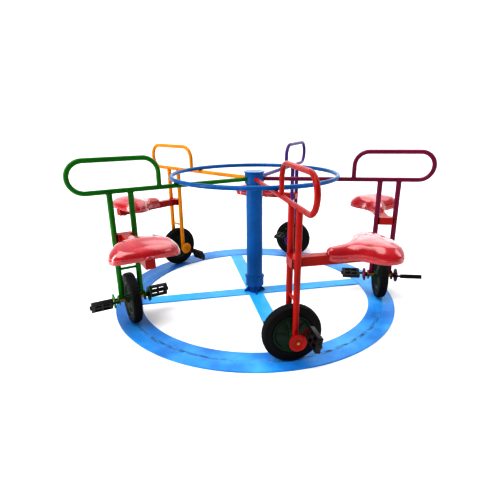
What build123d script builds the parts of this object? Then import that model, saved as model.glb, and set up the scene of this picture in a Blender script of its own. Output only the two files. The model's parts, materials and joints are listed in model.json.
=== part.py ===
from build123d import *
from math import cos, radians, sin
import os

os.makedirs("parts", exist_ok=True)

# A pedal merry-go-round, in millimetres. Origin on the ground under the column, +Z up.
# Five riders sit on equal stations around one turning column. Every unit is drawn at the
# station on +X, with +X outward, +Y backward from the direction of travel, and then turned.

# ---- clearances ----
weld_gap = 0.1          # between curved faces that are welded together
seam_gap = 0.6          # between two plates butted end to end
seat_gap = 0.05         # radial, between a pressed piece and its seat
running_gap = 0.06      # radial, between a turning shaft and its bore
side_gap = 0.5          # along an axle, between a turning face and a fixed one
rolling_gap = 0.3       # between tyre and track

# ---- track and cross bars on the ground ----
track_outer_r = 770
track_width = 134
track_thickness = 6
track_seam_angle = -49.7
cross_bar_width = 80
cross_bar_angle = 17.8
stub_od = 60.3
stub_top = 46
gusset_thickness = 5
gusset_reach = 30
gusset_height = 32

# ---- column, spindle and bearings ----
column_od = 88.9
column_wall = 4.45
column_clearance = 3    # between the stub and the column above it
shoe_wall = 7.4
shoe_height = 54
shoe_fillet = 1.5
collar_od = 109
collar_height = 7
spindle_d = 50
bearing_bore = 40
bearing_width = 18
ball_d = 12
ball_count = 9
race_land = 2.2         # how far each race stops short of the balls' pitch circle
nut_thread_d = 36
nut_height = 9
thread_end = 2          # how far the spindle stands out of its nut
nut_across_flats = 55
stop_ring_height = 6
stop_ring_wall = 5
bush_length = 60
hub_wall = 6.25
hub_above_arm = 35      # from the arms' centre lines to the hub sleeve's two ends
hub_below_arm = 24
hub_cap_thickness = 3.6
hub_cap_overhang = 5

# ---- arms and top ring ----
arm_od = 21.3
arm_wall = 2.6
arm_z = 655
loop_height = 138.8     # between the centre lines of the arm and of the loop's top
loop_root_back = 181.2  # from the wheel's plane in to where the loop comes down on the arm
loop_tip_reach = 209.6  # from the wheel's plane out to the outer bend's centre line
ring_r = 431.6

# ---- fork, wheel and axle ----
lane_offset = 6.8       # how far inside the track's middle line the wheels run
tyre_od = 250
tyre_width = 44
rim_r = 83
rim_width = 34
disc_thickness = 6
disc_hub_r = 20
dish_half = 12          # half thickness of the disc where the dish leaves the hub
rim_lip = 7
tyre_shoulder = 16
fork_span = 93.5        # between the legs' centre lines
leg_od = 25.4
leg_wall = 2
brace_d = 12
brace_above_tyre = 31.7
axle_plate_d = 50
axle_plate_thickness = 5
axle_d = 16
boss_d = 24
bush_flange_d = 30
bush_flange_thickness = 3

# ---- cranks and pedals ----
crank_throw = 64
crank_offset = 76       # from the wheel's plane to the middle of a crank arm
crank_arm_thickness = 12
crank_arm_width = 14
crank_boss_d = 24
crank_disc_d = 70       # the round cover over each crank's boss
crank_disc_thickness = 2.5
pedal_offset = 147      # from the wheel's plane to the middle of a pedal
pedal_length = 95
pedal_width = 62
pedal_thickness = 21
pedal_rail = 9
pedal_rung = 8
pedal_windows = 2
pedal_end = 16          # solid width at each end of a pedal
pedal_barrel_d = 20
pedal_spindle_d = 10
spindle_head_d = 16
spindle_head_length = 5

# ---- seat ----
bar_size = 38
bar_wall = 2.5
bar_z = 440
bar_length = 416        # from the fork's plane to the bar's end
saddle_start = 131      # from the fork's plane to the saddle's nose
saddle_bar_gap = 0.3    # round the bar, where the saddle's nose comes down over it
bolt_d = 12
bolt_grip = 24          # how far a bolt goes up into the saddle
bolt_head = 19          # across flats
bolt_head_height = 8

# Saddle sections: how far behind the nose, half width, and the heights of the rim and of
# the crown from the bar's top face.
saddle_sections = (
    (0, 12, -14, 11),
    (8, 22, -22, 21),
    (32, 31, -27, 30),
    (80, 39, -24, 37),
    (106, 54, -20, 44),
    (134, 88, -17, 56),
    (160, 118, -16, 66),
    (200, 139, -14, 71),
    (246, 131, -12, 57),
    (273, 98, -7, 42),
    (291, 30, -2, 14),
)
bolt_sections = (3, 8)  # the two of those sections that have a bolt under them

# Each unit: its station's angle, where the outer pedal stands round the axle, measured from
# backward towards up, and how far the outer and the inner pedal are tipped from level.
stations = {
    "magenta": (0, 163, -22, 22),
    "violet": (72, 230, 30, 10),
    "yellow": (144, 40, 20, 68),
    "green": (216, 17, 55, 80),
    "red": (288, 50, 80, 15),
}

# ---- worked out from the above ----
column_r = column_od / 2
column_bore_r = column_r - column_wall
hub_r = column_r + hub_wall
shoe_r = column_r + shoe_wall
track_inner_r = track_outer_r - track_width
tyre_r = tyre_od / 2
wheel_r = (track_outer_r + track_inner_r) / 2 - lane_offset
axle_z = track_thickness + rolling_gap + tyre_r
brace_z = axle_z + tyre_r + brace_above_tyre
loop_root_r = wheel_r - loop_root_back
loop_tip_r = wheel_r + loop_tip_reach
column_bottom = stub_top + column_clearance
column_top = arm_z + hub_above_arm
hub_bottom = arm_z - hub_below_arm
bearing_z = arm_z
leg_outer = fork_span / 2 + leg_od / 2
plate_inner = leg_outer + weld_gap
plate_outer = plate_inner + axle_plate_thickness
hub_half = fork_span / 2 - leg_od / 2 - side_gap
pitch_r = (bearing_bore / 2 + column_bore_r) / 2
bend_r = loop_height / 2
bar_top = bar_z + bar_size / 2
bolt_places = [(wheel_r, saddle_start + saddle_sections[index][0]) for index in bolt_sections]
pedal_pitch = (pedal_length - 2 * pedal_end + pedal_rung) / pedal_windows


def annulus(outer_r, inner_r, bottom, top):
    """A plain ring about the column's axis."""
    with BuildPart() as ring:
        with BuildSketch(Plane.XY.offset(bottom)):
            Circle(outer_r)
            Circle(inner_r, mode=Mode.SUBTRACT)
        extrude(amount=top - bottom)
    return ring


def placed(piece, angle, shift=(0, 0, 0), roll=0):
    """The piece rolled about the X axis, shifted, then turned about the column to its station."""
    with BuildPart() as copy:
        with Locations(Location((0, 0, 0), (0, 0, angle)) * Location(shift, (roll, 0, 0))):
            add(piece.part)
    return copy


def at_every_station(piece):
    """One group of separate solids, one from each unit."""
    with BuildPart() as group:
        for station in stations.values():
            with Locations(Location((0, 0, 0), (0, 0, station[0]))):
                add(piece.part)
    return group


# ---------------------------------------------------------------- base
# The track is cut as two half rings, butted at two welded seams.
with BuildPart() as track_ring:
    with BuildSketch():
        Circle(track_outer_r)
        Circle(track_inner_r, mode=Mode.SUBTRACT)
        with Locations(Location((0, 0, 0), (0, 0, track_seam_angle))):
            Rectangle(2 * track_outer_r, seam_gap, mode=Mode.SUBTRACT)
    extrude(amount=track_thickness)
track_ring.part.label = "track_ring"
export_step(track_ring.part, "parts/track_ring.step")

with BuildPart() as cross_bar_long:
    with BuildSketch():
        with Locations(Location((0, 0, 0), (0, 0, cross_bar_angle))):
            Rectangle(2 * track_inner_r, cross_bar_width)
        Circle(track_inner_r - weld_gap, mode=Mode.INTERSECT)
    extrude(amount=track_thickness)
cross_bar_long.part.label = "cross_bar_long"
export_step(cross_bar_long.part, "parts/cross_bar_long.step")

with BuildPart() as cross_bars_short:
    with BuildSketch():
        with Locations(Location((0, 0, 0), (0, 0, cross_bar_angle))):
            Rectangle(cross_bar_width, 2 * track_inner_r)
            Rectangle(2 * track_inner_r, cross_bar_width, mode=Mode.SUBTRACT)
        Circle(track_inner_r - weld_gap, mode=Mode.INTERSECT)
    extrude(amount=track_thickness)
cross_bars_short.part.label = "cross_bars_short"
export_step(cross_bars_short.part, "parts/cross_bars_short.step")

base_stub = annulus(stub_od / 2, spindle_d / 2 + seat_gap, track_thickness, stub_top)
base_stub.part.label = "base_stub"
export_step(base_stub.part, "parts/base_stub.step")

with BuildPart() as base_gussets:
    for quarter in range(4):
        radial = Plane(Location((0, 0, 0), (0, 0, cross_bar_angle + 90 * quarter)))
        upright = Plane(radial.origin, x_dir=radial.x_dir, z_dir=-radial.y_dir)
        with BuildSketch(upright):
            with BuildLine():
                foot = stub_od / 2 + weld_gap
                Polyline(
                    (foot, track_thickness),
                    (foot + gusset_reach, track_thickness),
                    (foot + gusset_reach, track_thickness + gusset_thickness),
                    (foot + gusset_thickness, track_thickness + gusset_height),
                    (foot, track_thickness + gusset_height),
                    close=True,
                )
            make_face()
        extrude(amount=gusset_thickness / 2, both=True)
base_gussets.part.label = "base_gussets"
export_step(base_gussets.part, "parts/base_gussets.step")

# ---------------------------------------------------------------- spindle and bearings
with BuildPart() as spindle:
    with BuildSketch(Plane.XY.offset(track_thickness)):
        Circle(spindle_d / 2)
    extrude(amount=bearing_z - track_thickness)
    with BuildSketch(Plane.XY.offset(bearing_z)):
        Circle(bearing_bore / 2)
    extrude(amount=bearing_width)
    with BuildSketch(Plane.XY.offset(bearing_z + bearing_width)):
        Circle(nut_thread_d / 2)
    extrude(amount=nut_height + thread_end)
    chamfer(spindle.faces().sort_by(Axis.Z)[-1].edges(), length=1)
spindle.part.label = "spindle"
export_step(spindle.part, "parts/spindle.step")


def bearing_race(outer_r, inner_r):
    """One race of the column's ball bearing, with the balls' groove turned into it."""
    with BuildPart() as race:
        with BuildSketch(Plane.XY.offset(bearing_z)):
            Circle(outer_r)
            Circle(inner_r, mode=Mode.SUBTRACT)
        extrude(amount=bearing_width)
        with BuildSketch(Plane.XZ):
            with Locations((pitch_r, bearing_z + bearing_width / 2)):
                Circle(ball_d / 2 + running_gap)
        revolve(mode=Mode.SUBTRACT)
    return race


bearing_inner_race = bearing_race(pitch_r - race_land, bearing_bore / 2 + seat_gap)
bearing_inner_race.part.label = "bearing_inner_race"
export_step(bearing_inner_race.part, "parts/bearing_inner_race.step")

bearing_outer_race = bearing_race(column_bore_r - seat_gap, pitch_r + race_land)
bearing_outer_race.part.label = "bearing_outer_race"
export_step(bearing_outer_race.part, "parts/bearing_outer_race.step")

with BuildPart() as bearing_balls:
    with Locations((0, 0, bearing_z + bearing_width / 2)):
        with PolarLocations(pitch_r, ball_count):
            Sphere(ball_d / 2)
bearing_balls.part.label = "bearing_balls"
export_step(bearing_balls.part, "parts/bearing_balls.step")

with BuildPart() as spindle_nut:
    with BuildSketch(Plane.XY.offset(bearing_z + bearing_width)):
        RegularPolygon(nut_across_flats / 2, 6, major_radius=False)
        Circle(nut_thread_d / 2 + seat_gap, mode=Mode.SUBTRACT)
    extrude(amount=nut_height)
spindle_nut.part.label = "spindle_nut"
export_step(spindle_nut.part, "parts/spindle_nut.step")

column_bush = annulus(
    column_bore_r - seat_gap, spindle_d / 2 + running_gap, column_bottom, column_bottom + bush_length
)
column_bush.part.label = "column_bush"
export_step(column_bush.part, "parts/column_bush.step")

stop_ring_z = bearing_z + bearing_width
bearing_stop_ring = annulus(
    column_bore_r - seat_gap,
    column_bore_r - stop_ring_wall,
    stop_ring_z,
    stop_ring_z + stop_ring_height,
)
bearing_stop_ring.part.label = "bearing_stop_ring"
export_step(bearing_stop_ring.part, "parts/bearing_stop_ring.step")

# ---------------------------------------------------------------- turning column
column = annulus(column_r, column_bore_r, column_bottom, column_top)
column.part.label = "column"
export_step(column.part, "parts/column.step")

with BuildPart() as column_shoe:
    with BuildSketch(Plane.XY.offset(column_bottom)):
        Circle(shoe_r)
        Circle(column_r + weld_gap, mode=Mode.SUBTRACT)
    extrude(amount=shoe_height)
    with BuildSketch(Plane.XY.offset(column_bottom + shoe_height - collar_height)):
        Circle(collar_od / 2)
        Circle(column_r + weld_gap, mode=Mode.SUBTRACT)
    extrude(amount=collar_height)
    rims = column_shoe.edges().filter_by(GeomType.CIRCLE).sort_by(SortBy.RADIUS)[-2:]
    fillet(rims, radius=shoe_fillet)
column_shoe.part.label = "column_shoe"
export_step(column_shoe.part, "parts/column_shoe.step")

hub_sleeve = annulus(hub_r, column_r + weld_gap, hub_bottom, column_top)
hub_sleeve.part.label = "hub_sleeve"
export_step(hub_sleeve.part, "parts/hub_sleeve.step")

with BuildPart() as hub_cap:
    with BuildSketch(Plane.XY.offset(column_top)):
        Circle(hub_r + hub_cap_overhang)
    extrude(amount=hub_cap_thickness)
    fillet(hub_cap.faces().sort_by(Axis.Z)[-1].edges(), radius=hub_cap_thickness / 2)
hub_cap.part.label = "hub_cap"
export_step(hub_cap.part, "parts/hub_cap.step")

# ---------------------------------------------------------------- top ring, rolled in two halves
with BuildPart() as top_ring:
    half_turn = 180 - 2 * weld_gap
    ring_z = arm_z + arm_od + weld_gap
    with BuildSketch(Plane.XZ):
        with Locations((ring_r, ring_z)):
            Circle(arm_od / 2)
            Circle(arm_od / 2 - arm_wall, mode=Mode.SUBTRACT)
    revolve(revolution_arc=half_turn)
    with BuildSketch(Plane.XZ):
        with Locations((-ring_r, ring_z)):
            Circle(arm_od / 2)
            Circle(arm_od / 2 - arm_wall, mode=Mode.SUBTRACT)
    revolve(revolution_arc=half_turn)
top_ring.part.label = "top_ring"
export_step(top_ring.part, "parts/top_ring.step")

# ---------------------------------------------------------------- one arm with its hand loop
loop_top = arm_z + loop_height
with BuildPart() as arm:
    # The loop's return: back along the top, round the inner bend and down to the arm.
    with BuildLine(Plane.XZ) as return_path:
        back = Line((loop_tip_r - bend_r, loop_top), (loop_root_r + bend_r, loop_top))
        drop = JernArc(back @ 1, back % 1, bend_r, 90)
        Line(drop @ 1, (loop_root_r, arm_z))
    with BuildSketch(Plane(back @ 0, z_dir=back % 0)):
        Circle(arm_od / 2)
        Circle(arm_od / 2 - arm_wall, mode=Mode.SUBTRACT)
    sweep()
    # The return's end is cut to saddle the arm.
    with BuildSketch(Plane.YZ):
        with Locations((0, arm_z)):
            Circle(arm_od / 2)
    extrude(amount=loop_tip_r, mode=Mode.SUBTRACT)
    # The straight run from the hub and the outer bend up to the return.
    with BuildLine(Plane.XZ) as run_path:
        run = Line((0, arm_z), (loop_tip_r - bend_r, arm_z))
        JernArc(run @ 1, run % 1, bend_r, 180)
    with BuildSketch(Plane(run @ 0, z_dir=run % 0)):
        Circle(arm_od / 2)
        Circle(arm_od / 2 - arm_wall, mode=Mode.SUBTRACT)
    sweep()
    # The inner end is cut to saddle the hub sleeve.
    with BuildSketch(Plane.XY.offset(hub_bottom)):
        Circle(hub_r + weld_gap)
    extrude(amount=column_top - hub_bottom, mode=Mode.SUBTRACT)

# ---------------------------------------------------------------- one fork
with BuildPart() as fork:
    # Two legs, cut at the top to saddle the arm.
    leg_bottom = axle_z + boss_d / 2 + weld_gap
    with BuildSketch(Plane.XY.offset(leg_bottom)):
        with Locations((wheel_r - fork_span / 2, 0), (wheel_r + fork_span / 2, 0)):
            Circle(leg_od / 2)
            Circle(leg_od / 2 - leg_wall, mode=Mode.SUBTRACT)
    extrude(amount=arm_z - arm_od / 4 - leg_bottom)
    with BuildSketch(Plane.YZ):
        with Locations((0, arm_z)):
            Circle(arm_od / 2 + weld_gap)
    extrude(amount=wheel_r + fork_span, mode=Mode.SUBTRACT)
    # A short round brace between the legs, just above the tyre.
    brace_half = fork_span / 2 - leg_od / 2 - weld_gap
    with BuildSketch(Plane.YZ.offset(wheel_r - brace_half)):
        with Locations((0, brace_z)):
            Circle(brace_d / 2)
    extrude(amount=2 * brace_half)
    # A round plate for the axle on the outer face of each leg.
    for plate_start in (wheel_r + plate_inner, wheel_r - plate_outer):
        with BuildSketch(Plane.YZ.offset(plate_start)):
            with Locations((0, axle_z)):
                Circle(axle_plate_d / 2)
                Circle(boss_d / 2 + seat_gap, mode=Mode.SUBTRACT)
        extrude(amount=axle_plate_thickness)

with BuildPart() as axle_bush_pair:
    # Two flanged bushes, the flanges outside the plates.
    for outward in (1, -1):
        side = Plane((wheel_r, 0, axle_z), x_dir=(0, 1, 0), z_dir=(outward, 0, 0))
        with BuildSketch(side.offset(hub_half + side_gap)):
            Circle(boss_d / 2)
            Circle(axle_d / 2 + running_gap, mode=Mode.SUBTRACT)
        extrude(amount=plate_outer - hub_half - side_gap)
        with BuildSketch(side.offset(plate_outer)):
            Circle(bush_flange_d / 2)
            Circle(axle_d / 2 + running_gap, mode=Mode.SUBTRACT)
        extrude(amount=bush_flange_thickness)
axle_bushes = at_every_station(axle_bush_pair)
axle_bushes.part.label = "axle_bushes"
export_step(axle_bushes.part, "parts/axle_bushes.step")

# ---------------------------------------------------------------- one seat bar
with BuildPart() as seat_bar:
    # A square cross piece between the legs.
    cross_half = fork_span / 2 - leg_od / 2 - weld_gap
    with BuildSketch(Plane.YZ.offset(wheel_r - cross_half)):
        with Locations((0, bar_z)):
            Rectangle(bar_size, bar_size)
            Rectangle(bar_size - 2 * bar_wall, bar_size - 2 * bar_wall, mode=Mode.SUBTRACT)
    extrude(amount=2 * cross_half)
    # The bar that runs back from it, closed by an end plate.
    with BuildSketch(Plane.XZ.offset(-bar_size / 2)):
        with Locations((wheel_r, bar_z)):
            Rectangle(bar_size, bar_size)
            Rectangle(bar_size - 2 * bar_wall, bar_size - 2 * bar_wall, mode=Mode.SUBTRACT)
    extrude(amount=bar_size / 2 - bar_length + bar_wall)
    with BuildSketch(Plane.XZ.offset(bar_wall - bar_length)):
        with Locations((wheel_r, bar_z)):
            Rectangle(bar_size, bar_size)
    extrude(amount=-bar_wall)
    # Holes for the saddle's bolts, up through both walls.
    with BuildSketch(Plane.XY.offset(bar_top - bar_size)):
        with Locations(*bolt_places):
            Circle(bolt_d / 2 + running_gap)
    extrude(amount=bar_size, mode=Mode.SUBTRACT)
seat_bars = at_every_station(seat_bar)
seat_bars.part.label = "seat_bars"
export_step(seat_bars.part, "parts/seat_bars.step")


# ---------------------------------------------------------------- one saddle
with BuildPart() as saddle:
    for back, half_width, rim, crown in saddle_sections:
        place = Plane(
            (wheel_r, saddle_start + back, bar_top + rim), x_dir=(1, 0, 0), z_dir=(0, -1, 0)
        )
        with BuildSketch(place):
            with BuildLine():
                rise = crown - rim
                outline = Spline(
                    [
                        (half_width * cos(radians(turn)), rise * sin(radians(turn)) ** 0.8)
                        for turn in (0, 30, 60, 90, 120, 150, 180)
                    ],
                    tangents=((0, 1), (0, -1)),
                )
                Line(outline @ 1, outline @ 0)
            make_face()
    loft()
    # The bar lies in a channel from the nose to the tail.
    with BuildSketch(Plane.XZ.offset(-saddle_start)):
        with Locations((wheel_r, bar_top + saddle_bar_gap - bar_size)):
            Rectangle(bar_size + 2 * saddle_bar_gap, 2 * bar_size)
    extrude(amount=-saddle_sections[-1][0], mode=Mode.SUBTRACT)
    # Bores for the bolts that hold it down.
    with BuildSketch(Plane.XY.offset(bar_top)):
        with Locations(*bolt_places):
            Circle(bolt_d / 2 + running_gap)
    extrude(amount=bolt_grip + weld_gap, mode=Mode.SUBTRACT)

with BuildPart() as saddle_bolt_pair:
    # Two bolts from under the bar, up through it into the saddle.
    with BuildSketch(Plane.XY.offset(bar_top - bar_size)):
        with Locations(*bolt_places):
            Circle(bolt_d / 2)
    extrude(amount=bar_size + bolt_grip)
    with BuildSketch(Plane.XY.offset(bar_top - bar_size)):
        with Locations(*bolt_places):
            RegularPolygon(bolt_head / 2, 6, major_radius=False)
    extrude(amount=-bolt_head_height)
saddle_bolts = at_every_station(saddle_bolt_pair)
saddle_bolts.part.label = "saddle_bolts"
export_step(saddle_bolts.part, "parts/saddle_bolts.step")

# ---------------------------------------------------------------- one wheel
with BuildPart() as tyre:
    with BuildSketch(Plane.XY):
        with Locations((wheel_r, (rim_r + seat_gap + tyre_r) / 2)):
            RectangleRounded(tyre_width, tyre_r - rim_r - seat_gap, radius=tyre_shoulder)
    revolve(axis=Axis((0, 0, 0), (1, 0, 0)))

with BuildPart() as wheel_disc:
    with BuildSketch(Plane.XY):
        with BuildLine():
            Polyline(
                (wheel_r + hub_half, axle_d / 2 + seat_gap),
                (wheel_r + hub_half, disc_hub_r),
                (wheel_r + dish_half, disc_hub_r + dish_half / 2),
                (wheel_r + disc_thickness / 2, rim_r - 2 * rim_lip),
                (wheel_r + rim_width / 2, rim_r - rim_lip),
                (wheel_r + rim_width / 2, rim_r),
                (wheel_r - rim_width / 2, rim_r),
                (wheel_r - rim_width / 2, rim_r - rim_lip),
                (wheel_r - disc_thickness / 2, rim_r - 2 * rim_lip),
                (wheel_r - dish_half, disc_hub_r + dish_half / 2),
                (wheel_r - hub_half, disc_hub_r),
                (wheel_r - hub_half, axle_d / 2 + seat_gap),
                close=True,
            )
        make_face()
    revolve(axis=Axis((0, 0, 0), (1, 0, 0)))


# The cranked axle is drawn level, along the X axis: a straight axle, two crank arms half a
# turn apart with a round cover over each boss, and a spindle with a head for each pedal.
crank_inner = crank_offset - crank_arm_thickness / 2
crank_outer = crank_offset + crank_arm_thickness / 2
head_start = pedal_offset + pedal_length / 2 + side_gap
with BuildPart() as crank:
    with BuildSketch(Plane.YZ.offset(wheel_r - crank_inner)):
        Circle(axle_d / 2)
    extrude(amount=2 * crank_inner)
    for outward in (1, -1):
        side = Plane((wheel_r, 0, 0), x_dir=(0, outward, 0), z_dir=(outward, 0, 0))
        with BuildSketch(side.offset(crank_inner)):
            SlotCenterPoint((crank_throw / 2, 0), (crank_throw, 0), crank_arm_width)
            Circle(crank_boss_d / 2)
        extrude(amount=crank_arm_thickness)
        with BuildSketch(side.offset(crank_outer)):
            Circle(crank_disc_d / 2)
        extrude(amount=crank_disc_thickness)
        with BuildSketch(side.offset(crank_outer)):
            with Locations((crank_throw, 0)):
                Circle(pedal_spindle_d / 2)
        extrude(amount=head_start - crank_outer)
        with BuildSketch(side.offset(head_start)):
            with Locations((crank_throw, 0)):
                Circle(spindle_head_d / 2)
        extrude(amount=spindle_head_length)

# A ladder pedal round the X axis: two rails, joined by rungs and ends round a barrel.
with BuildPart() as pedal:
    with BuildSketch(Plane.XY.offset(-pedal_thickness / 2)):
        with Locations((wheel_r, 0)):
            RectangleRounded(pedal_length, pedal_width, radius=pedal_rail)
            with GridLocations(pedal_pitch, 0, pedal_windows, 1):
                Rectangle(pedal_pitch - pedal_rung, pedal_width - 2 * pedal_rail, mode=Mode.SUBTRACT)
    extrude(amount=pedal_thickness)
    with BuildSketch(Plane.YZ.offset(wheel_r - pedal_length / 2)):
        Circle(pedal_barrel_d / 2)
    extrude(amount=pedal_length)
    with BuildSketch(Plane.YZ.offset(wheel_r - pedal_length / 2)):
        Circle(pedal_spindle_d / 2 + running_gap)
    extrude(amount=pedal_length, mode=Mode.SUBTRACT)

# ---------------------------------------------------------------- the five units
for colour, (angle, phase, outer_tip, inner_tip) in stations.items():
    back = crank_throw * cos(radians(phase))
    up = crank_throw * sin(radians(phase))
    outer_place = (pedal_offset, back, axle_z + up)
    inner_place = (-pedal_offset, -back, axle_z - up)
    unit = {
        "arm": placed(arm, angle),
        "fork": placed(fork, angle),
        "saddle": placed(saddle, angle),
        "tyre": placed(tyre, angle, (0, 0, axle_z)),
        "wheel_disc": placed(wheel_disc, angle, (0, 0, axle_z)),
        "crank": placed(crank, angle, (0, 0, axle_z), phase),
        "pedal_outer": placed(pedal, angle, outer_place, outer_tip),
        "pedal_inner": placed(pedal, angle, inner_place, inner_tip),
    }
    for name, piece in unit.items():
        piece.part.label = f"{colour}_{name}"
        export_step(piece.part, f"parts/{colour}_{name}.step")
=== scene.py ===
import json
import math

import bpy
from mathutils import Matrix, Vector, noise


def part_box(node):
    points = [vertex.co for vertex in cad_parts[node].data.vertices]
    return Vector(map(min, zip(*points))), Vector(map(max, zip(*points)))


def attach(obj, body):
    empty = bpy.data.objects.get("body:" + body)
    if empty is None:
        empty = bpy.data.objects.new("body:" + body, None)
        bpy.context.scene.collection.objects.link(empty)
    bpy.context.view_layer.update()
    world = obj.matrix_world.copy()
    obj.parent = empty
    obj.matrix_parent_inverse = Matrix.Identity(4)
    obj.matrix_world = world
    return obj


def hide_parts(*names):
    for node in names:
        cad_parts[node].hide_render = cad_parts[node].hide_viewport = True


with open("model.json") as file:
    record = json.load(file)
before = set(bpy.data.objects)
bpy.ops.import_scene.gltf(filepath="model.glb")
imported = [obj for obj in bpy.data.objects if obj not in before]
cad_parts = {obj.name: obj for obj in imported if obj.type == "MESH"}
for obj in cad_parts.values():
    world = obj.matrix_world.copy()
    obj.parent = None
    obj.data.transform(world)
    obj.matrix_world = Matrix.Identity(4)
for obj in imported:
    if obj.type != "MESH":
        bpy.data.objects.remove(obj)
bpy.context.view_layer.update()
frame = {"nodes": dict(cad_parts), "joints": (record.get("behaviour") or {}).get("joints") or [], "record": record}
nodes = frame["nodes"]
joints = {joint["name"]: joint for joint in frame["joints"]}
scene = bpy.context.scene

MM = 0.001
UNITS = ("magenta", "violet", "yellow", "green", "red")

# ---------------------------------------------------------------- places, read from the frame
# The magenta unit stands on +X, so its boxes are square to the axes.
tyre_low, tyre_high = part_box("magenta_tyre")
WHEEL_R = (tyre_low.x + tyre_high.x) / 2
AXLE_Z = (tyre_low.z + tyre_high.z) / 2
TYRE_R = (tyre_high.z - tyre_low.z) / 2
TYRE_HALF = (tyre_high.x - tyre_low.x) / 2
disc_low, disc_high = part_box("magenta_wheel_disc")
RIM_R = (disc_high.z - disc_low.z) / 2
HUB_HALF = (disc_high.x - disc_low.x) / 2
saddle_low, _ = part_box("magenta_saddle")
SADDLE_START = saddle_low.y
arm_low, arm_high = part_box("magenta_arm")
TUBE_R = arm_high.y
ARM_Z = arm_low.z + TUBE_R
TRACK_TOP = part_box("track_ring")[1].z
CAP_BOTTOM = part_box("hub_cap")[0].z
sleeve_low, sleeve_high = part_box("hub_sleeve")
HUB_R = sleeve_high.x
COLUMN_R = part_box("column")[1].x
RING_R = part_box("top_ring")[1].x - TUBE_R
bar_low, bar_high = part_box("seat_bars")
BAR_TOP = bar_high.z
BAR_MIDDLE = (bar_low.z + bar_high.z) / 2
SHOE_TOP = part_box("column_shoe")[1].z
stub_low, stub_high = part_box("base_stub")
STUB_R = stub_high.x
pedal_low, pedal_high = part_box("magenta_pedal_outer")
PEDAL_HALF = (pedal_high.x - pedal_low.x) / 2

# ---------------------------------------------------------------- sizes the boxes don't give
PEDAL_THICK = 21 * MM
LEG_R = 12.7 * MM
LEG_OFFSET = 46.75 * MM      # from the wheel's plane to a leg
LOOP_ROOT = 181.2 * MM       # from the wheel's plane in to the loop's return on the arm
BRACE_Z = 288 * MM
BRACE_R = 6 * MM
BAR_HALF = 19 * MM
PLATE_FACE = 59.55 * MM      # from the wheel's plane to the axle plate's face
COVER_OUT = 84.5 * MM        # from the wheel's plane to the crank cover's face
HEAD_REACH = 6.5 * MM        # from the pedal's end past the head of its spindle
CROSS_ANGLE = math.radians(17.8)
SEAM_ANGLE = math.radians(-49.7)
TRACK_IN = 636 * MM
TRACK_WIDTH = 131 * MM


def station(colour):
    """The turn about the column that takes the unit on +X to this unit's station."""
    axis = joints[f"wheel_{colour}_spin"]["axis"]
    return Matrix.Rotation(math.atan2(axis[1], axis[0]), 4, "Z")


# ---------------------------------------------------------------- mesh helpers
def mesh_object(name, points, faces, smooth=True):
    mesh = bpy.data.meshes.new(name)
    mesh.from_pydata([tuple(p) for p in points], [], faces)
    mesh.update()
    if smooth:
        mesh.shade_smooth()
    made = bpy.data.objects.new(name, mesh)
    scene.collection.objects.link(made)
    return made


def grid_faces(rows, columns, close_rows=False, close_columns=False):
    """Quads over a grid of points stored row by row."""
    faces = []
    for i in range(rows if close_rows else rows - 1):
        for j in range(columns if close_columns else columns - 1):
            a = i * columns + j
            b = i * columns + (j + 1) % columns
            c = ((i + 1) % rows) * columns + (j + 1) % columns
            d = ((i + 1) % rows) * columns + j
            faces.append((a, b, c, d))
    return faces


def tube_along(name, path, radius, sides, closed, ripple=0.0, seed=0.0):
    """A round tube along a path, its surface rippled like a weld where ripple isn't 0."""
    count = len(path)
    path = [Vector(p) for p in path]
    points = []
    normal = None
    for i, here in enumerate(path):
        after = path[(i + 1) % count] if closed else path[min(i + 1, count - 1)]
        before = path[i - 1] if closed else path[max(i - 1, 0)]
        along = (after - before).normalized()
        if normal is None:
            normal = along.orthogonal().normalized()
        normal = (normal - along * normal.dot(along)).normalized()
        other = along.cross(normal)
        for j in range(sides):
            turn = 2 * math.pi * j / sides
            spread = 1 + ripple * noise.noise(here * 260 + Vector((seed, j * 0.35, 0)))
            wave = 1 + ripple * 0.5 * math.sin(i * 2.1)
            points.append(
                here + (normal * math.cos(turn) + other * math.sin(turn)) * radius * spread * wave
            )
    faces = grid_faces(count, sides, closed, True)
    if not closed:
        faces.append(tuple(range(sides))[::-1])
        faces.append(tuple((count - 1) * sides + j for j in range(sides)))
    return mesh_object(name, points, faces)


def place(piece, matrix, body, material):
    """Stands a piece in the frame, lets it ride on a body and gives it its finish."""
    piece.data.transform(matrix)
    piece.data.materials.clear()
    piece.data.materials.append(material)
    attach(piece, body)
    return piece


# ---------------------------------------------------------------- materials
def new_material(name):
    made = bpy.data.materials.new(name)
    made.use_nodes = True
    tree = made.node_tree
    return made, tree.nodes, tree.links, tree.nodes["Principled BSDF"]


def noise_node(tree_nodes, links, vector, scale, detail=4.0, roughness=0.55):
    node = tree_nodes.new("ShaderNodeTexNoise")
    node.inputs["Scale"].default_value = scale
    node.inputs["Detail"].default_value = detail
    node.inputs["Roughness"].default_value = roughness
    links.new(vector, node.inputs["Vector"])
    return node.outputs["Fac"]


def ramp(tree_nodes, links, value, stops):
    """A colour ramp; each stop is (place, colour or grey)."""
    node = tree_nodes.new("ShaderNodeValToRGB")
    elements = node.color_ramp.elements
    while len(elements) < len(stops):
        elements.new(0.5)
    for element, (where, colour) in zip(elements, stops):
        element.position = where
        shade = colour if isinstance(colour, tuple) else (colour, colour, colour)
        element.color = (*shade, 1)
    links.new(value, node.inputs["Fac"])
    return node.outputs["Color"]


def mix(tree_nodes, links, factor, first, second, blend="MIX"):
    node = tree_nodes.new("ShaderNodeMix")
    node.data_type = "RGBA"
    node.blend_type = blend
    for socket, value in ((node.inputs[0], factor), (node.inputs[6], first), (node.inputs[7], second)):
        if isinstance(value, (int, float)):
            socket.default_value = value
        elif isinstance(value, tuple):
            socket.default_value = (*value, 1)
        else:
            links.new(value, socket)
    return node.outputs[2]


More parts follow.
